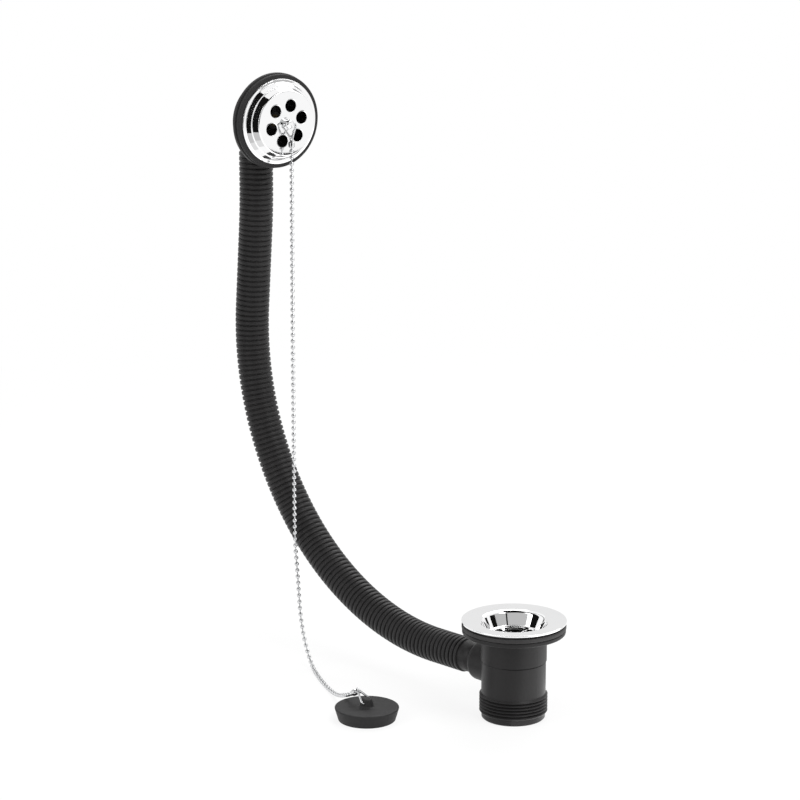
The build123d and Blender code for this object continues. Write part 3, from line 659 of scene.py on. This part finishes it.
class PlaceStage(bpy.types.Operator):
    """Place the camera, the pale floor, the lamps and the studio's boards and mats"""

    bl_idname = "bath_waste.place_stage"
    bl_label = "Camera and studio"

    def execute(self, context):
        s, w = context.scene.bath_stage, context.scene.bath_waste
        level = np.cos(s.elevation)
        back = np.array((np.sin(s.azimuth) * level, -np.cos(s.azimuth) * level, np.sin(s.elevation)))
        right = np.array((np.cos(s.azimuth), np.sin(s.azimuth), 0))
        above = np.cross(back, right)
        width = s.distance * SENSOR_WIDTH / s.lens
        eye = w.flange_thickness * UP + s.distance * back - width * (s.aim_x * right + s.aim_y * above)
        data = bpy.data.cameras.new("camera")
        data.lens, data.sensor_width, data.clip_end = s.lens, SENSOR_WIDTH, 50
        camera = linked("camera", data)
        stand(camera, right, above, back, eye)
        context.scene.camera = camera
        self.floor(context, w.tail_end)
        self.world(context)
        self.lamps(right, back)
        self.boards(w.tail_end)
        context.scene.view_settings.view_transform = "Standard"
        return {"FINISHED"}

    def floor(self, context, level):
        """A level sheet whose pale colour is lit, mixed with white for what the camera and metal see of it.

        The share of white grows from the object, where the shadow shows, to plain white farther off.
        """
        mesh = bpy.data.meshes.new("floor")
        corners = ((-1, -1), (1, -1), (1, 1), (-1, 1))
        mesh.from_pydata([(x * FLOOR_REACH, y * FLOOR_REACH, level) for x, y in corners], [], [range(4)])
        colour = (*context.scene.bath_finishes.backdrop, 1)
        values = {"Base Color": colour, "Roughness": 0.9, "Specular IOR Level": 0.0}
        made, tree, shader = blank("pale_floor", values)
        part = self.seen_white(tree, shader, tree.nodes["Material Output"], "Emission")
        place, reach = add_node(tree, "TexCoord"), add_node(tree, "VectorMath", operation="LENGTH")
        share = add_node(tree, "MapRange", {"From Min": 0.4, "From Max": 1.1, "To Min": 0.84, "To Max": 1.0})
        wire_up(tree, (place, "Object", reach, 0), (reach, "Value", share, "Value"))
        wire_up(tree, (share, "Result", part, 1))
        mesh.materials.append(made)
        floor = linked("floor", mesh)

    def seen_white(self, tree, lit, output, kind):
        """Mixes white into a shader for camera, glossy and transmission rays; gives the node of its share."""
        path = add_node(tree, "LightPath")
        either, seen = (add_node(tree, "Math", operation="MAXIMUM") for _ in range(2))
        part = add_node(tree, "Math", {1: 1.0}, "MULTIPLY")
        white = add_node(tree, kind, {"Color": (1, 1, 1, 1), "Strength": 1.0})
        mix = add_node(tree, "MixShader")
        wire_up(
            tree,
            (path, "Is Camera Ray", either, 0),
            (path, "Is Glossy Ray", either, 1),
            (either, 0, seen, 0),
            (path, "Is Transmission Ray", seen, 1),
            (seen, 0, part, 0),
            (part, 0, mix, 0),
            (lit, 0, mix, 1),
            (white, 0, mix, 2),
            (mix, 0, output, "Surface"),
        )
        return part

    def world(self, context):
        """Soft even light from all round, seen as white."""
        world = bpy.data.worlds.new("studio")
        world.use_nodes = True
        tree = world.node_tree
        soft = tree.nodes["Background"]
        soft.inputs["Color"].default_value = (1, 1, 1, 1)
        soft.inputs["Strength"].default_value = 0.55
        self.seen_white(tree, soft, tree.nodes["World Output"], "Background")
        context.scene.world = world

    def lamps(self, right, back):
        """Three large soft lamps: a key above on the right, a fill on the left and one from behind."""
        target = np.array((-0.11, -0.03, 0.13))
        for name, offset, side, watts in (
            ("key", 0.9 * right + 1.0 * back + 1.5 * UP, 1.3, 26),
            ("fill", -1.4 * right + 0.9 * back + 0.7 * UP, 1.2, 11),
            ("rear", -1.2 * back + 0.5 * right + 1.6 * UP, 1.2, 14),
        ):
            data = bpy.data.lights.new(name, "AREA")
            data.size, data.energy = side, watts
            away = unit(offset)
            level = unit(np.cross(UP, away))
            stand(linked(name, data), level, np.cross(away, level), away, target + offset)

    def boards(self, floor):
        """Boards and mats that only mirrored light sees. The two mats on the right glow brighter than white,
        glowing sheets that are no lamps, and give the sheen on the waste body's right side.

        Uprights are given by the two ends of their foot and their levels, the others by a level and corners.
        """
        black, grey = 0.006, 0.52
        mat = floor + MAT_LIFT
        for name, first, last, low, high, tone in (
            ("left_board", (-0.8, -0.48), (-0.28, -0.48), 0.085, 2.0, black),
            ("right_board", (0.3, 0.18), (0.21, 0.28), 0.1, 0.2, black),
            ("low_right_board", (0.131, 0.3245), (0.0665, 0.3437), 0.035, 0.096, black),
            ("near_board", (1.545, -0.414), (1.207, 1.05), 0.55, 1.5, grey),
            ("wide_board", (-0.333, -1.565), (1.513, -0.521), 0.55, 1.5, grey),
            ("gap_board", (1.465, -0.592), (1.533, -0.382), 0.55, 1.5, black),
            ("camera_board", (0.39, -1.59), (0.99, -0.99), floor, 0.55, black),
            ("lifted_board", (0.99, -0.99), (1.59, -0.39), 0.12, 0.55, black),
            ("back_board", (-1.9, 0.1), (-0.1, 1.9), floor, 1.0, 0.84),
        ):
            self.board(name, [(*first, low), (*last, low), (*last, high), (*first, high)], tone)
        overhead = (
            *((-0.354, 0.424), (-0.106, 0.672), (0.424, 0.424), (1.697, -0.424)),
            *((0.389, -1.732), (-0.403, -0.757), (-0.297, -0.297), (-0.304, 0.092)),
        )
        for name, level, corners, tone in (
            ("overhead_board", 1.6, overhead, black),
            ("far_mat", mat, ((-0.62, -0.85), (-0.25, -0.85), (-0.25, -0.33), (-0.62, -0.33)), 0.58),
            ("near_mat", mat, ((-0.62, -0.33), (-0.25, -0.33), (-0.25, -0.15), (-0.62, -0.15)), 0.78),
            # These two mats glow brighter than white though they are no lamps: glowing light that gives the
            # sheen on the waste body's right side.
            ("right_mat", mat, ((0.02, -0.03), (0.35, -0.06), (0.2, 0.32), (-0.02, 0.06)), 2.1),
            ("wide_mat", mat, ((0.35, -0.06), (1.5, -0.2), (0.9, 1.2), (0.2, 0.32)), 1.6),
        ):
            self.board(name, [(x, y, level) for x, y in corners], tone)

    def board(self, name, corners, tone):
        """One board or mat of a plain tone."""
        mesh = bpy.data.meshes.new(name)
        mesh.from_pydata(corners, [], [range(len(corners))])
        mesh.materials.append(blank(name, {"Color": (tone, tone, tone, 1)}, "Emission")[0])
        board = linked(name, mesh)
        board.visible_camera = board.visible_diffuse = board.visible_shadow = False


class BuildChain(bpy.types.Operator):
    """Build the ball chain, its two couplings and the two wire links"""

    bl_idname = "bath_waste.build_chain"
    bl_label = "Ball chain"

    def execute(self, context):
        c = context.scene.bath_chain
        ends = chain_ends()
        route = spline_points(np.concatenate((ends[0]["bead"][None], chain_bends(), ends[1]["bead"][None])))
        distance = travelled(route)
        length = distance[-1]
        count = round(length / c.bead_pitch)
        centres = along(route, distance, np.linspace(0, length, count + 1))
        look = ("bright_chain_plate", "chain_metal")
        shape = joined(self.beads(c, centres), self.pins(c, centres))
        chain = piece("ball_chain", shape, *look, "chain_beads", "chain_wires", sharp=60, even=False)
        for end, link, cup in zip(ends, ("top_link", "plug_link"), ("top_coupling", "bottom_coupling")):
            path = link_points(end["origin"], end["base"], end["run"])
            wire = carried(path, c.link_wire, LINK_STEPS, np.cross(end["base"], end["run"]))
            shape = rings(self.rounded_ends(wire, path, c.link_wire))
            piece(link + "_wire", shape, *look, link, sharp=60, even=False)
            piece(cup + "_cup", self.coupling(c, end), *look, cup)
        return {"FINISHED"}

    def rounded_ends(self, wire, path, radius):
        """Adds a smaller ring and a closing point to each end of a tube, so its cut ends are domed."""
        shrink, out = (np.array(shares)[:, None, None] for shares in ((0.7, 0.0), (0.25, 0.32)))
        first = path[0] + shrink * (wire[0] - path[0]) - out * radius * unit(path[1] - path[0])
        last = path[-1] + shrink * (wire[-1] - path[-1]) + out * radius * unit(path[-1] - path[-2])
        return np.concatenate((first[::-1], wire, last))

    def beads(self, c, centres):
        """Every bead at once: a ball with a dimpled hole at each pole, its poles along the chain."""
        hole, dent = 1.25 * c.wire_radius, 0.3 * c.wire_radius
        pole = np.arcsin(hole / c.bead_radius)
        polar = np.linspace(pole, np.pi - pole, BEAD_ROWS)
        profile = c.bead_radius * on_circle(polar)[:, ::-1]
        dimple = np.array(((0.0, profile[0, 1] - dent),))
        profile = np.concatenate((dimple, profile, dimple * (1, -1)))
        local = turned(profile, full_turn(BEAD_STEPS), ORIGIN, UP, X_AXIS)
        return many_rings(centres[:, None, None] + np.einsum("abk,nkx->nabx", local, self.frames(centres)))

    def pins(self, c, centres):
        """Every pin at once: a short closed wire from just inside one bead's dimple to the next's."""
        t = full_turn(PIN_STEPS)
        ring = np.stack((np.cos(t), np.sin(t), 0 * t), axis=1) * c.wire_radius
        frames = self.frames(centres)[:-1]
        step = np.linalg.norm(np.diff(centres, axis=0), axis=1)
        inset = c.bead_radius * 0.94
        ends = np.stack((np.full(len(step), inset), step - inset), axis=1)
        starts = centres[:-1, None, None]
        shift = ends[:, :, None, None] * frames[:, None, None, 2]
        rows = starts + np.einsum("bk,nkx->nbx", ring, frames)[:, None] + shift
        caps = starts + shift + 0 * rows
        return many_rings(np.concatenate((caps[:, :1], rows, caps[:, 1:]), axis=1))

    def frames(self, centres):
        """For each bead two directions square to the chain and the chain's own direction."""
        tangent = units(np.gradient(centres, axis=0))
        side = units(np.cross(tangent, NEVER_TAKEN))
        return np.stack((side, np.cross(tangent, side), tangent), axis=1)

    def coupling(self, c, end):
        """A coupling: a cup turned about the pull, hollow where it holds the bead, and a torus as its eye."""
        eye, pull = end["eye"], end["pull"]
        base = unit(end["base"] - (end["base"] @ pull) * pull)
        start, middle, hollow = cup_places(c)
        stop = start + c.cup_length
        outer = hollow + c.cup_wall
        lip = np.sqrt(hollow**2 - c.cup_mouth**2)
        polar = np.linspace(np.arctan2(c.cup_mouth, lip), np.pi, BEAD_ROWS)
        inside = (0, middle) + hollow * on_circle(polar)[:, ::-1]
        shell = rounded(
            (0, start, 0),
            (outer - c.cup_taper, start, 0.0003),
            (outer, start + c.cup_taper, 0.0006),
            (outer, stop - c.cup_taper, 0.0006),
            (outer - c.cup_taper, stop, 0.0003),
            (c.cup_mouth, stop, 0),
            steps=4,
        )
        cup = turned(np.concatenate((shell, inside)), full_turn(CUP_STEPS), eye, pull, base)
        tube = (c.eye_radius, 0) + c.eye_wire * on_circle(full_turn(EYE_ROWS))
        return joined(rings(cup), rings(turned(tube, full_turn(EYE_STEPS), eye, base, pull), True))


class BuildHose(bpy.types.Operator):
    """Build the corrugated hose with its flat-topped ribs"""

    bl_idname = "bath_waste.build_hose"
    bl_label = "Corrugated hose"

    def execute(self, context):
        h = context.scene.bath_hose
        path, distance = hose_path()
        length = distance[-1]
        ribbed = length - h.low_cuff - h.top_cuff
        count = int(ribbed / h.pitch)
        step = ribbed / count
        floor = h.radius - h.groove_depth
        half = h.groove_width / 2 / step
        soft = 0.0003
        # One rib from groove to groove: shares of the pitch, and of the groove's depth at each of them.
        flank = np.array((half * 0.45, half * 0.8, half, half + 0.06))
        across = np.concatenate(([0], flank, [0.5], 1 - flank[::-1]))
        rise = np.array((0, 0.08, 0.6, 0.9, 1.0, 1.0, 1.0, 0.9, 0.6, 0.08))
        ribs = (h.low_cuff + step * (np.arange(count)[:, None] + across)).ravel()
        radii = np.tile(floor + h.groove_depth * rise, count)
        low_end = np.array((0.0, soft, h.low_cuff * 0.5))
        top_end = length - np.array((h.top_cuff, h.top_cuff * 0.5, soft, 0.0))
        wanted = np.concatenate((low_end, ribs, top_end))
        radii = np.concatenate(((floor - soft, floor, floor), radii, (floor, floor, floor, floor - soft)))
        # The surface runs out over the ribs, radius = floor + depth x rise, and back through the bore.
        outer = carried(along(path, distance, wanted), radii, HOSE_STEPS, Y_AXIS)
        back = along(path, distance, np.linspace(length, 0, BORE_ROWS))
        grid = np.concatenate((outer, carried(back, h.bore, HOSE_STEPS, -Y_AXIS)))
        shape = rings(grid, True)
        piece("corrugated_hose", shape, "hose_black", "hose_plastic", "overflow_hose", sharp=50, even=False)
        return {"FINISHED"}


class BuildWaste(bpy.types.Operator):
    """Build the plated flange, plug seat and strainer, and the rings under them"""

    bl_idname = "bath_waste.build_waste"
    bl_label = "Plated waste"

    def execute(self, context):
        w = context.scene.bath_waste
        angles = w.spoke_angle + full_turn(w.opening_count * SECTOR_STEPS)
        top = w.flange_thickness
        strainer = top - w.seat_depth
        under = strainer - w.strainer_thickness
        slope = (w.mouth_radius - w.strainer_radius) / (w.seat_depth - w.lip_round)
        wall = w.seat_wall * np.sqrt(1 + slope**2)

        def back(level):
            """Radius of the seat's outer side at a level."""
            return w.mouth_radius - (top - w.lip_round - level) * slope + wall

        edge, hub_side = w.strainer_radius - STRAINER_RIM, w.hub_radius - HUB_INSET
        shell = rounded(
            (edge, strainer, 0),
            (w.strainer_radius, strainer, 0.0008),
            (w.mouth_radius + 0.0004, top - w.flange_dish, w.lip_round * 1.5),
            (w.flange_radius, top, 0.0003),
            (w.flange_radius, w.relief_height, 0.0002),
            (w.flange_radius - w.relief_width, 0, 0.0002),
            (back(0), 0, 0.0008),
            (back(under), under, 0.0006),
            (edge, under, 0),
            steps=7,
        )
        hub = np.array(
            (
                (w.sink_radius, strainer),
                (w.screw_radius, strainer - w.sink_depth),
                (w.screw_radius, strainer - w.hub_height),
                (hub_side, strainer - w.hub_height),
                (hub_side, under),
            )
        )
        place = (ORIGIN, UP, X_AXIS)
        radii, levels = (edge, w.sink_radius, hub_side), (strainer, under)
        shape = joined(
            *(rings(turned(profile, angles, *place)) for profile in (shell, hub)),
            *pierced(w.opening_count, w.spoke_angle, self.opening(w), radii, levels, HOLE_ROUND, *place),
        )
        piece("plated_waste", shape, "polished_plate", "chrome_waste", "waste_flange")
        names = (
            # The seal's finish is painted shade: darker than the black rubber, for the gap under the flange's
            # rim.
            ("thin_seal", "seal_black", "seal_rubber", "flange_seal"),
            # The washer's finish is painted light: a lighter copy of the black rubber, so its band reads as
            # lit.
            ("rubber_washer", "washer_black", "washer_rubber", "body_washer"),
        )
        sizes = ((w.seal_radius, w.seal_thickness), (w.washer_radius, w.washer_thickness))
        level = 0.0
        for (name, look, slot, node), (radius, thick) in zip(names, sizes):
            low = level - thick
            soft = min(RING_ROUND, thick / 3)
            piece(name, flat_ring(w.ring_bore, radius, low, level, soft, *place), look, slot, node)
            level = low
        return {"FINISHED"}

    def opening(self, w):
        """Outline of one strainer opening between two spokes, as dense points about the X axis."""
        half_spoke = w.spoke_width / 2
        half = np.pi / w.opening_count
        outer = half - np.arcsin(half_spoke / w.opening_radius)
        inner = half - np.arcsin(half_spoke / w.hub_radius)
        big = np.linspace(-outer, outer, OUTLINE_STEPS // 4)
        small = np.linspace(inner, -inner, OUTLINE_STEPS // 8)
        loop = np.concatenate((w.opening_radius * on_circle(big), w.hub_radius * on_circle(small)))
        return softened(loop, OPENING_ROUND)


def softened(loop, radius):
    """A closed outline with its points evened out and averaged over a window, which rounds its corners."""
    closed = np.concatenate((loop, loop[:1]))
    distance = travelled(closed)
    even = along(closed, distance, np.linspace(0, distance[-1], OUTLINE_STEPS, endpoint=False))
    window = max(1, int(radius / (distance[-1] / OUTLINE_STEPS)))
    kernel = np.hanning(2 * window + 3)[1:-1]
    kernel /= kernel.sum()
    padded = np.concatenate((even[-window:], even, even[:window]))
    return np.stack([np.convolve(column, kernel, "valid") for column in padded.T], axis=1)


def pierced(count, start, outline, radii, levels, soft, centre, axis, side):
    """Shapes of a flat plate with equal openings, each sector ruled from its opening out to its border.

    The border runs along the outer arc, the two radial sides and the inner arc. The opening's outline is read
    at the angle of each border point, seen from its middle. Top and under faces get the same ruling, and a
    rounded wall joins them round the opening. The radii are the outer one and the inner ones on top and
    under, and the levels are those of the two faces.
    """
    outer, inner_top, inner_under = radii
    top, under = levels
    across = np.cross(axis, side)
    half = np.pi / count
    middle = (outline.max(0) + outline.min(0)) / 2
    arc = on_circle(np.linspace(-half, half, SECTOR_STEPS + 1))
    offset = outline - middle
    bearing = np.arctan2(offset[:, 1], offset[:, 0])
    order = np.argsort(bearing)
    reach = np.linalg.norm(offset, axis=1)[order]

    def border(inner):
        """Points once round a sector."""
        radial = np.linspace(outer, inner, ARM_STEPS + 1)[1:-1]
        sides = (
            outer * arc,
            radial[:, None] * (np.cos(half), np.sin(half)),
            inner * arc[::-1],
            radial[::-1, None] * (np.cos(half), -np.sin(half)),
        )
        return np.concatenate(sides)

    def edge_for(points, grow):
        """The opening's edge, grown outwards, on the way from its middle to each point."""
        seen = np.arctan2(points[:, 1] - middle[1], points[:, 0] - middle[0])
        found = np.interp(seen, bearing[order], reach, period=2 * np.pi) + grow
        return middle + found[:, None] * on_circle(seen)

    upper, lower = border(inner_top), border(inner_under)
    share = np.array((0.0, 0.12, 0.4, 0.75, 1.0))[:, None, None]
    roll = np.linspace(0, np.pi / 2, 4)
    top_edge, under_edge = edge_for(upper, soft), edge_for(lower, soft)
    face_top = top_edge + share * (upper - top_edge)
    face_under = under_edge + share * (lower - under_edge)
    wall = [edge_for(upper, soft * (1 - np.sin(a))) for a in roll]
    wall += [edge_for(lower, soft * (1 - np.cos(a))) for a in roll]
    height = [top - soft * (1 - np.cos(a)) for a in roll] + [under + soft * (1 - np.sin(a)) for a in roll]
    flat = np.concatenate((face_top[::-1], np.array(wall[1:-1]), face_under))
    heights = np.concatenate((np.full(len(share), top), height[1:-1], np.full(len(share), under)))
    shapes = []
    for k in range(count):
        a = start + (2 * k + 1) * half
        x = flat[..., 0] * np.cos(a) - flat[..., 1] * np.sin(a)
        y = flat[..., 0] * np.sin(a) + flat[..., 1] * np.cos(a)
        grid = centre + x[..., None] * side + y[..., None] * across + heights[:, None, None] * axis
        shapes.append(rings(grid))
    return shapes


class BuildOverflow(bpy.types.Operator):
    """Build the plated faceplate with its drain holes, and the gasket behind it"""

    bl_idname = "bath_waste.build_overflow"
    bl_label = "Overflow faceplate"

    def execute(self, context):
        o = context.scene.bath_overflow
        place = overflow_frame()
        start = o.drain_angle - np.pi / o.drain_count
        angles = start + full_turn(SECTOR_STEPS * o.drain_count)
        front, inside = o.front_height, o.front_height - o.plate_wall
        edge = o.front_radius - FRONT_RIM
        shell = rounded(
            (edge, front, 0),
            (o.front_radius, front, 0.0011),
            (o.ledge_inner, o.ledge_height, 0.0004),
            (o.ledge_outer, o.ledge_height, 0.0003),
            (o.step_radius, o.step_height, 0.0006),
            (o.plate_radius, o.plate_edge, 0.0007),
            (o.plate_radius, 0, 0.0002),
            (o.step_radius - o.plate_wall, 0, 0.0002),
            (o.ledge_outer - o.plate_wall, o.ledge_height - o.plate_wall, 0.0003),
            (o.ledge_inner - o.plate_wall, o.ledge_height - o.plate_wall, 0.0003),
            (o.front_radius - o.plate_wall, inside, 0.0006),
            (edge, inside, 0),
            steps=6,
        )
        hole = np.array(((o.stay_hole, front), (o.stay_hole, inside)))
        drain = (o.drain_circle, 0) + o.drain_radius * on_circle(full_turn(OUTLINE_STEPS))
        radii, levels = (edge, o.stay_hole, o.stay_hole), (front, inside)
        shape = joined(
            *(rings(turned(profile, angles, *place)) for profile in (shell, hole)),
            *pierced(o.drain_count, start, drain, radii, levels, DRAIN_ROUND, *place),
        )
        piece("plated_faceplate", shape, "polished_plate", "chrome_overflow", "overflow_faceplate")
        ring = flat_ring(o.gasket_bore, o.gasket_radius, -o.gasket_thickness, 0, RING_ROUND, *place)
        piece("rubber_gasket", ring, "black_rubber", "washer_rubber", "overflow_gasket")
        return {"FINISHED"}


class DressSolids(bpy.types.Operator):
    """Give the solids that stay in view their finishes"""

    bl_idname = "bath_waste.dress_solids"
    bl_label = "Finishes on the solids"

    def execute(self, context):
        for node, name in (
            ("waste_body", "moulded_black"),
            ("overflow_body", "moulded_black"),
            ("plug", "black_rubber"),
            ("waste_screw", "polished_plate"),
            ("chain_stay", "polished_plate"),
            ("waste_insert", "turned_brass"),
            ("overflow_insert", "turned_brass"),
        ):
            mesh = NODES[node].data
            mesh.materials.clear()
            mesh.materials.append(finish(name))
        return {"FINISHED"}


OPERATORS = (PlaceStage, BuildChain, BuildHose, BuildWaste, BuildOverflow, DressSolids)


class BathWastePanel(bpy.types.Panel):
    """Lists the steps that build the bath waste"""

    bl_idname = "VIEW3D_PT_bath_waste"
    bl_label = "Bath Waste"
    bl_space_type = "VIEW_3D"
    bl_region_type = "UI"
    bl_category = "Bath Waste"

    def draw(self, context):
        for step in OPERATORS:
            self.layout.operator(step.bl_idname)


CLASSES = (*GROUPS.values(), *OPERATORS, BathWastePanel)


def register():
    for cls in CLASSES:
        bpy.utils.register_class(cls)
    for name, group in GROUPS.items():
        setattr(bpy.types.Scene, name, PointerProperty(type=group))


def unregister():
    for name in GROUPS:
        delattr(bpy.types.Scene, name)
    for cls in reversed(CLASSES):
        bpy.utils.unregister_class(cls)


def main():
    """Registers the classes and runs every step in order."""
    register()
    for step in OPERATORS:
        group, name = step.bl_idname.split(".")
        getattr(getattr(bpy.ops, group), name)()


if __name__ == "__main__":
    main()
